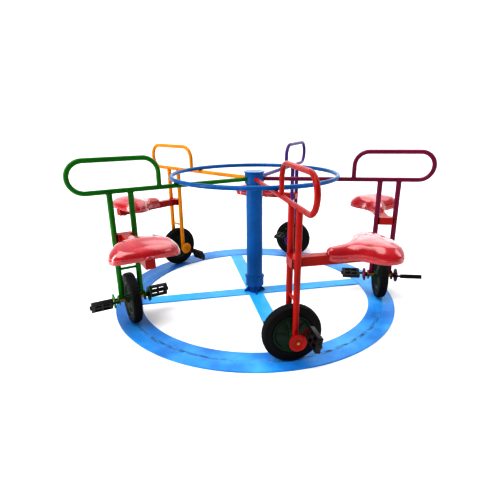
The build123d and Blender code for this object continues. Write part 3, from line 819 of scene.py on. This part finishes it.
# ---------------------------------------------------------------- the five units
for colour in UNITS:
    turn = station(colour)
    back = turn.inverted()
    paint = f"{colour}_paint"
    seat = saddle_mesh(f"{colour}_saddle_skin")
    place(seat, turn, "rotor", MATERIALS["saddle_plastic"])
    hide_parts(f"{colour}_saddle")
    hub_place = turn @ Matrix.Translation((WHEEL_R, 0, AXLE_Z))
    wheel_body = f"wheel_{colour}"
    tyre = tyre_mesh(f"{colour}_tyre_skin")
    place(tyre, hub_place, wheel_body, MATERIALS["tyre_rubber"])
    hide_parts(f"{colour}_tyre")
    disc = disc_mesh(f"{colour}_disc_skin")
    place(disc, hub_place, wheel_body, MATERIALS["wheel_green"])
    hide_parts(f"{colour}_wheel_disc")
    for side_name, outward in (("outer", 1), ("inner", -1)):
        joint = joints[f"pedal_{colour}_{side_name}_spin"]
        centre = back @ Vector(joint["pos_m"])
        tip = pedal_tip(f"{colour}_pedal_{side_name}", centre, back)
        pedal = pedal_mesh(f"{colour}_pedal_{side_name}_skin")
        place(
            pedal,
            turn @ Matrix.Translation(centre) @ Matrix.Rotation(tip, 4, "X"),
            f"pedal_{colour}_{side_name}",
            MATERIALS["pedal_plastic"],
        )
        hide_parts(f"{colour}_pedal_{side_name}")
        # the pedal's dust cap, over the head of its spindle
        reach = PEDAL_HALF + HEAD_REACH
        cap = lathe(
            f"{colour}_pedal_cap_{side_name}",
            [
                (PEDAL_HALF - 0.4 * MM, 8.4 * MM), (PEDAL_HALF - 0.4 * MM, 9.9 * MM),
                (PEDAL_HALF + 0.6 * MM, 10.4 * MM), (reach - 1.4 * MM, 10.0 * MM),
                (reach - 0.3 * MM, 9.0 * MM),
                (reach + 0.2 * MM, 7.2 * MM), (reach + 0.5 * MM, 2.6 * MM), (reach + 0.2 * MM, 0.4 * MM),
                (reach - 0.5 * MM, 0.4 * MM), (reach - 0.4 * MM, 7.6 * MM), (reach - 1.4 * MM, 8.4 * MM),
            ],
            36,
        )
        place(
            cap,
            turn @ Matrix.Translation(centre) @ Matrix.Rotation(0 if outward > 0 else math.pi, 4, "Z"),
            f"pedal_{colour}_{side_name}",
            MATERIALS["pedal_plastic"],
        )
        # the small bolt in the middle of the axle's end
        bolt = hex_bolt(f"{colour}_axle_bolt_{side_name}", 12 * MM, 4.0 * MM)
        flip = Matrix.Rotation(0 if outward > 0 else math.pi, 4, "Z")
        place(
            bolt,
            turn @ Matrix.Translation((WHEEL_R + outward * COVER_OUT, 0, AXLE_Z)) @ flip,
            wheel_body, MATERIALS["brass"],
        )
    # welds: the arm on the hub, the loop's return on the arm, the legs under the arm
    path = [(along, y, ARM_Z + z) for z, y, along in saddled_circle(TUBE_R, HUB_R)]
    bead(f"{colour}_weld_hub", path, matrix=turn, slot_name=paint)
    root = WHEEL_R - LOOP_ROOT
    path = [(root + x, y, ARM_Z + along) for x, y, along in saddled_circle(TUBE_R * 0.98, TUBE_R)]
    bead(f"{colour}_weld_loop", path, matrix=turn, slot_name=paint)
    for outward in (1, -1):
        leg = WHEEL_R + outward * LEG_OFFSET
        word = "out" if outward > 0 else "in"
        path = []
        for k in range(56):
            swing = 2 * math.pi * k / 56
            y = LEG_R * math.sin(swing)
            drop = math.sqrt(max(TUBE_R ** 2 - min(y * y, TUBE_R ** 2), 0.0))
            path.append((leg + LEG_R * math.cos(swing), y, ARM_Z - max(drop, TUBE_R / 4)))
        bead(f"{colour}_weld_leg_{word}", path, matrix=turn, slot_name=paint)
        # the brace's and the seat bar's ends on the leg
        inner = leg - outward * LEG_R
        path = []
        for k in range(32):
            swing = 2 * math.pi * k / 32
            y = BRACE_R * math.sin(swing)
            sag = LEG_R - math.sqrt(LEG_R ** 2 - y * y)
            path.append((inner + outward * sag, y, BRACE_Z + BRACE_R * math.cos(swing)))
        bead(f"{colour}_weld_brace_{word}", path, matrix=turn, width=1.6 * MM, slot_name=paint)
        # the seat bar's square cross piece on the leg, and the plate's rim on the leg's outer face
        path = []
        for k in range(48):
            side_index, share = divmod(k, 12)
            corners = ((-1, -1), (1, -1), (1, 1), (-1, 1))
            a, b = corners[side_index], corners[(side_index + 1) % 4]
            y = BAR_HALF * (a[0] + (b[0] - a[0]) * share / 12)
            z = BAR_HALF * (a[1] + (b[1] - a[1]) * share / 12)
            sag = LEG_R - math.sqrt(max(LEG_R ** 2 - min(abs(y), LEG_R * 0.98) ** 2, 0.0))
            path.append((inner + outward * sag, max(-LEG_R, min(LEG_R, y)), BAR_MIDDLE + z))
        bead(f"{colour}_weld_bar_{word}", path, matrix=turn, width=1.8 * MM, slot_name="red_paint")
        plate_face = WHEEL_R + outward * PLATE_FACE
        for side in (1, -1):
            path = [
                (plate_face - outward * 1.0 * MM, side * (LEG_R * 0.42), AXLE_Z + 13 * MM + 11 * MM * k / 12)
                for k in range(13)
            ]
            bead(
                f"{colour}_weld_plate_{word}_{'b' if side > 0 else 'a'}", path, closed=False,
                width=2.0 * MM, matrix=turn, slot_name=paint,
            )
        # the crank's round cover: a broad raised ring round a dished middle
        cover = lathe(
            f"{colour}_crank_cover_{word}",
            [
                (-2.6 * MM, 34.4 * MM), (-2.6 * MM, 35.6 * MM), (0.4 * MM, 36.0 * MM), (2.2 * MM, 35.2 * MM),
                (3.2 * MM, 33.4 * MM), (3.4 * MM, 30.0 * MM), (2.9 * MM, 25.0 * MM), (1.8 * MM, 20.5 * MM),
                (0.5 * MM, 18.2 * MM), (0.15 * MM, 17.0 * MM), (0.15 * MM, 11.0 * MM), (1.3 * MM, 10.2 * MM),
                (1.6 * MM, 9.2 * MM), (1.6 * MM, 6.0 * MM), (-0.2 * MM, 5.6 * MM), (-0.2 * MM, 33.8 * MM),
            ],
            96,
        )
        place(
            cover,
            turn @ Matrix.Translation((WHEEL_R + outward * COVER_OUT, 0, AXLE_Z))
            @ Matrix.Rotation(0 if outward > 0 else math.pi, 4, "Z"),
            wheel_body, MATERIALS[paint],
        )
    # the top ring sits on the arm, welded on both sides
    for side in (1, -1):
        path = []
        for k in range(13):
            x = RING_R + (k - 6) * 1.5 * MM
            path.append((x, side * 6.2 * MM, ARM_Z + TUBE_R * 1.01 + abs(k - 6) * 0.12 * MM))
        bead(f"{colour}_weld_ring_{'b' if side > 0 else 'a'}", path, closed=False, width=2.2 * MM,
             matrix=turn, slot_name="blue_paint")

# ---------------------------------------------------------------- column and base welds
def ring_path(radius, height, steps=120):
    """A level circle round the column's axis."""
    return [
        (radius * math.cos(2 * math.pi * k / steps), radius * math.sin(2 * math.pi * k / steps), height)
        for k in range(steps)
    ]


bead("weld_cap", ring_path(HUB_R + 0.6 * MM, CAP_BOTTOM - 0.8 * MM), width=1.8 * MM)
bead("weld_sleeve", ring_path(COLUMN_R + 1.2 * MM, sleeve_low.z + 0.4 * MM), width=2.0 * MM)
bead("weld_shoe", ring_path(COLUMN_R + 1.2 * MM, SHOE_TOP + 0.2 * MM), width=2.0 * MM)
bead("weld_stub", ring_path(STUB_R + 1.0 * MM, stub_low.z + 0.8 * MM, 96), body="base", width=2.4 * MM)
for quarter in range(4):
    spin = Matrix.Rotation(CROSS_ANGLE + quarter * math.pi / 2, 4, "Z")
    path = []
    for k in range(41):
        y = (k - 20) / 20 * 39 * MM
        path.append((math.sqrt(TRACK_IN ** 2 - y * y) - 0.05 * MM, y, TRACK_TOP - 0.5 * MM))
    bead(
        f"weld_cross_{quarter}", path, closed=False, body="base", matrix=spin, width=2.6 * MM,
        slot_name="track_paint",
    )
    for side in (1, -1):
        path = [
            (STUB_R + 1.5 * MM + 28 * MM * k / 14, side * 3.0 * MM, TRACK_TOP + 0.6 * MM) for k in range(15)
        ]
        bead(
            f"weld_gusset_{quarter}_{'b' if side > 0 else 'a'}", path, closed=False, body="base",
            matrix=spin, width=1.7 * MM,
        )
# the ring's own butt seams, welded and ground nearly flush
for number in range(2):
    spin = Matrix.Rotation(SEAM_ANGLE + number * math.pi, 4, "Z")
    path = [(TRACK_IN + 1 * MM + TRACK_WIDTH * k / 60, 0.0, TRACK_TOP - 1.3 * MM) for k in range(61)]
    bead(
        f"weld_seam_{number}", path, closed=False, body="base", matrix=spin, width=1.7 * MM,
        slot_name="track_paint",
    )

# soft edges on the cut steel plates
for name, width in (
    ("track_ring", 1.2), ("cross_bar_long", 1.0), ("cross_bars_short", 1.0),
    ("base_gussets", 0.7), ("hub_sleeve", 0.6), ("seat_bars", 1.6),
):
    soften = nodes[name].modifiers.new("soft_edges", "BEVEL")
    soften.width = width * MM
    soften.segments = 3
    soften.limit_method = "ANGLE"
    soften.angle_limit = math.radians(40)
    soften.harden_normals = False

# ---------------------------------------------------------------- stage
floor_mesh = bpy.data.meshes.new("floor")
FLOOR_HALF, FLOOR_Z = 40, -0.5 * MM
floor_mesh.from_pydata(
    [(x * FLOOR_HALF, y * FLOOR_HALF, FLOOR_Z) for x, y in ((-1, -1), (1, -1), (1, 1), (-1, 1))],
    [], [(0, 1, 2, 3)],
)
floor = bpy.data.objects.new("floor", floor_mesh)
scene.collection.objects.link(floor)
floor_paint, _, _, floor_shader = new_material("floor")
floor_shader.inputs["Base Color"].default_value = (0.93, 0.93, 0.935, 1)
floor_shader.inputs["Roughness"].default_value = 0.9
floor_shader.inputs["Specular IOR Level"].default_value = 0.1
floor_mesh.materials.append(floor_paint)

camera_data = bpy.data.cameras.new("camera")
camera_data.lens = 27.94
camera_data.sensor_width = 36
camera = bpy.data.objects.new("camera", camera_data)
scene.collection.objects.link(camera)
heading, pitch, roll = math.radians(-6.30), math.radians(18.76), math.radians(-0.42)
look = Vector((math.sin(heading) * math.cos(pitch), math.cos(heading) * math.cos(pitch), -math.sin(pitch)))
right = look.cross(Vector((0, 0, 1))).normalized()
up = right.cross(look)
right, up = right * math.cos(roll) + up * math.sin(roll), -right * math.sin(roll) + up * math.cos(roll)
camera.matrix_world = Matrix((
    (right.x, up.x, -look.x, 0.2017),
    (right.y, up.y, -look.y, -2.0593),
    (right.z, up.z, -look.z, 0.9572),
    (0, 0, 0, 1),
))
scene.camera = camera

SKY_FRONT, SKY_BEHIND, SKY_OVERHEAD = 0.10, 0.85, 0.25
world = bpy.data.worlds.new("sky")
scene.world = world
world.use_nodes = True
sky_nodes, sky_links = world.node_tree.nodes, world.node_tree.links
sky = sky_nodes["Background"]
# the object is lit by a sky that is bright behind it and overhead and dim in front; the
# background itself is plain and pale
heading_of = sky_nodes.new("ShaderNodeTexCoord").outputs["Generated"]
parts = sky_nodes.new("ShaderNodeSeparateXYZ")
sky_links.new(heading_of, parts.inputs[0])
behind = sky_nodes.new("ShaderNodeMapRange")
behind.interpolation_type = "SMOOTHSTEP"
sky_links.new(parts.outputs[1], behind.inputs["Value"])
behind.inputs["From Min"].default_value = -0.25
behind.inputs["From Max"].default_value = 0.85
behind.inputs["To Min"].default_value = SKY_FRONT
behind.inputs["To Max"].default_value = SKY_BEHIND
overhead = sky_nodes.new("ShaderNodeMapRange")
sky_links.new(parts.outputs[2], overhead.inputs["Value"])
overhead.inputs["From Min"].default_value = 0.2
overhead.inputs["To Max"].default_value = SKY_OVERHEAD
seen_by_object = sky_nodes.new("ShaderNodeMath")
seen_by_object.operation = "ADD"
sky_links.new(behind.outputs["Result"], seen_by_object.inputs[0])
sky_links.new(overhead.outputs["Result"], seen_by_object.inputs[1])
path_kind = sky_nodes.new("ShaderNodeLightPath")
strength = sky_nodes.new("ShaderNodeMix")
strength.data_type = "FLOAT"
sky_links.new(path_kind.outputs["Is Camera Ray"], strength.inputs[0])
sky_links.new(seen_by_object.outputs[0], strength.inputs[2])
strength.inputs[3].default_value = 0.93
sky_links.new(strength.outputs[0], sky.inputs["Strength"])
sky.inputs["Color"].default_value = (0.97, 0.98, 1.0, 1)


def lamp(name, kind, where, aim, size, power, colour=(1, 1, 1), glossy_only=False):
    data = bpy.data.lights.new(name, kind)
    if kind == "SUN":
        data.angle = size
    else:
        data.shape = "RECTANGLE"
        data.size, data.size_y = size
    data.energy = power
    data.color = colour
    light = bpy.data.objects.new(name, data)
    light.location = where
    light.rotation_euler = (Vector(aim) - Vector(where)).to_track_quat("-Z", "Y").to_euler()
    light.visible_camera = False
    light.visible_diffuse = not glossy_only
    scene.collection.objects.link(light)


lamp("key", "SUN", (-1.4, -1.2, 3.4), (0, 0, 0), math.radians(50), 2.1, (1, 0.99, 0.97))
lamp("back", "AREA", (0.2, 3.6, 1.9), (0, 0, 0.4), (4.6, 1.8), 24)
lamp("sheen", "AREA", (0.9, 0.8, 2.6), (0.2, 0, 0.4), (3.0, 2.4), 36, glossy_only=True)
lamp("side", "AREA", (3.0, -0.6, 1.9), (0, 0, 0.4), (1.2, 1.6), 16, (0.95, 0.97, 1))
lamp("strip", "AREA", (-2.6, -1.5, 1.1), (0, 0, 0.5), (0.35, 2.2), 34)
scene.view_settings.view_transform = "Standard"
scene.view_settings.look = "High Contrast"
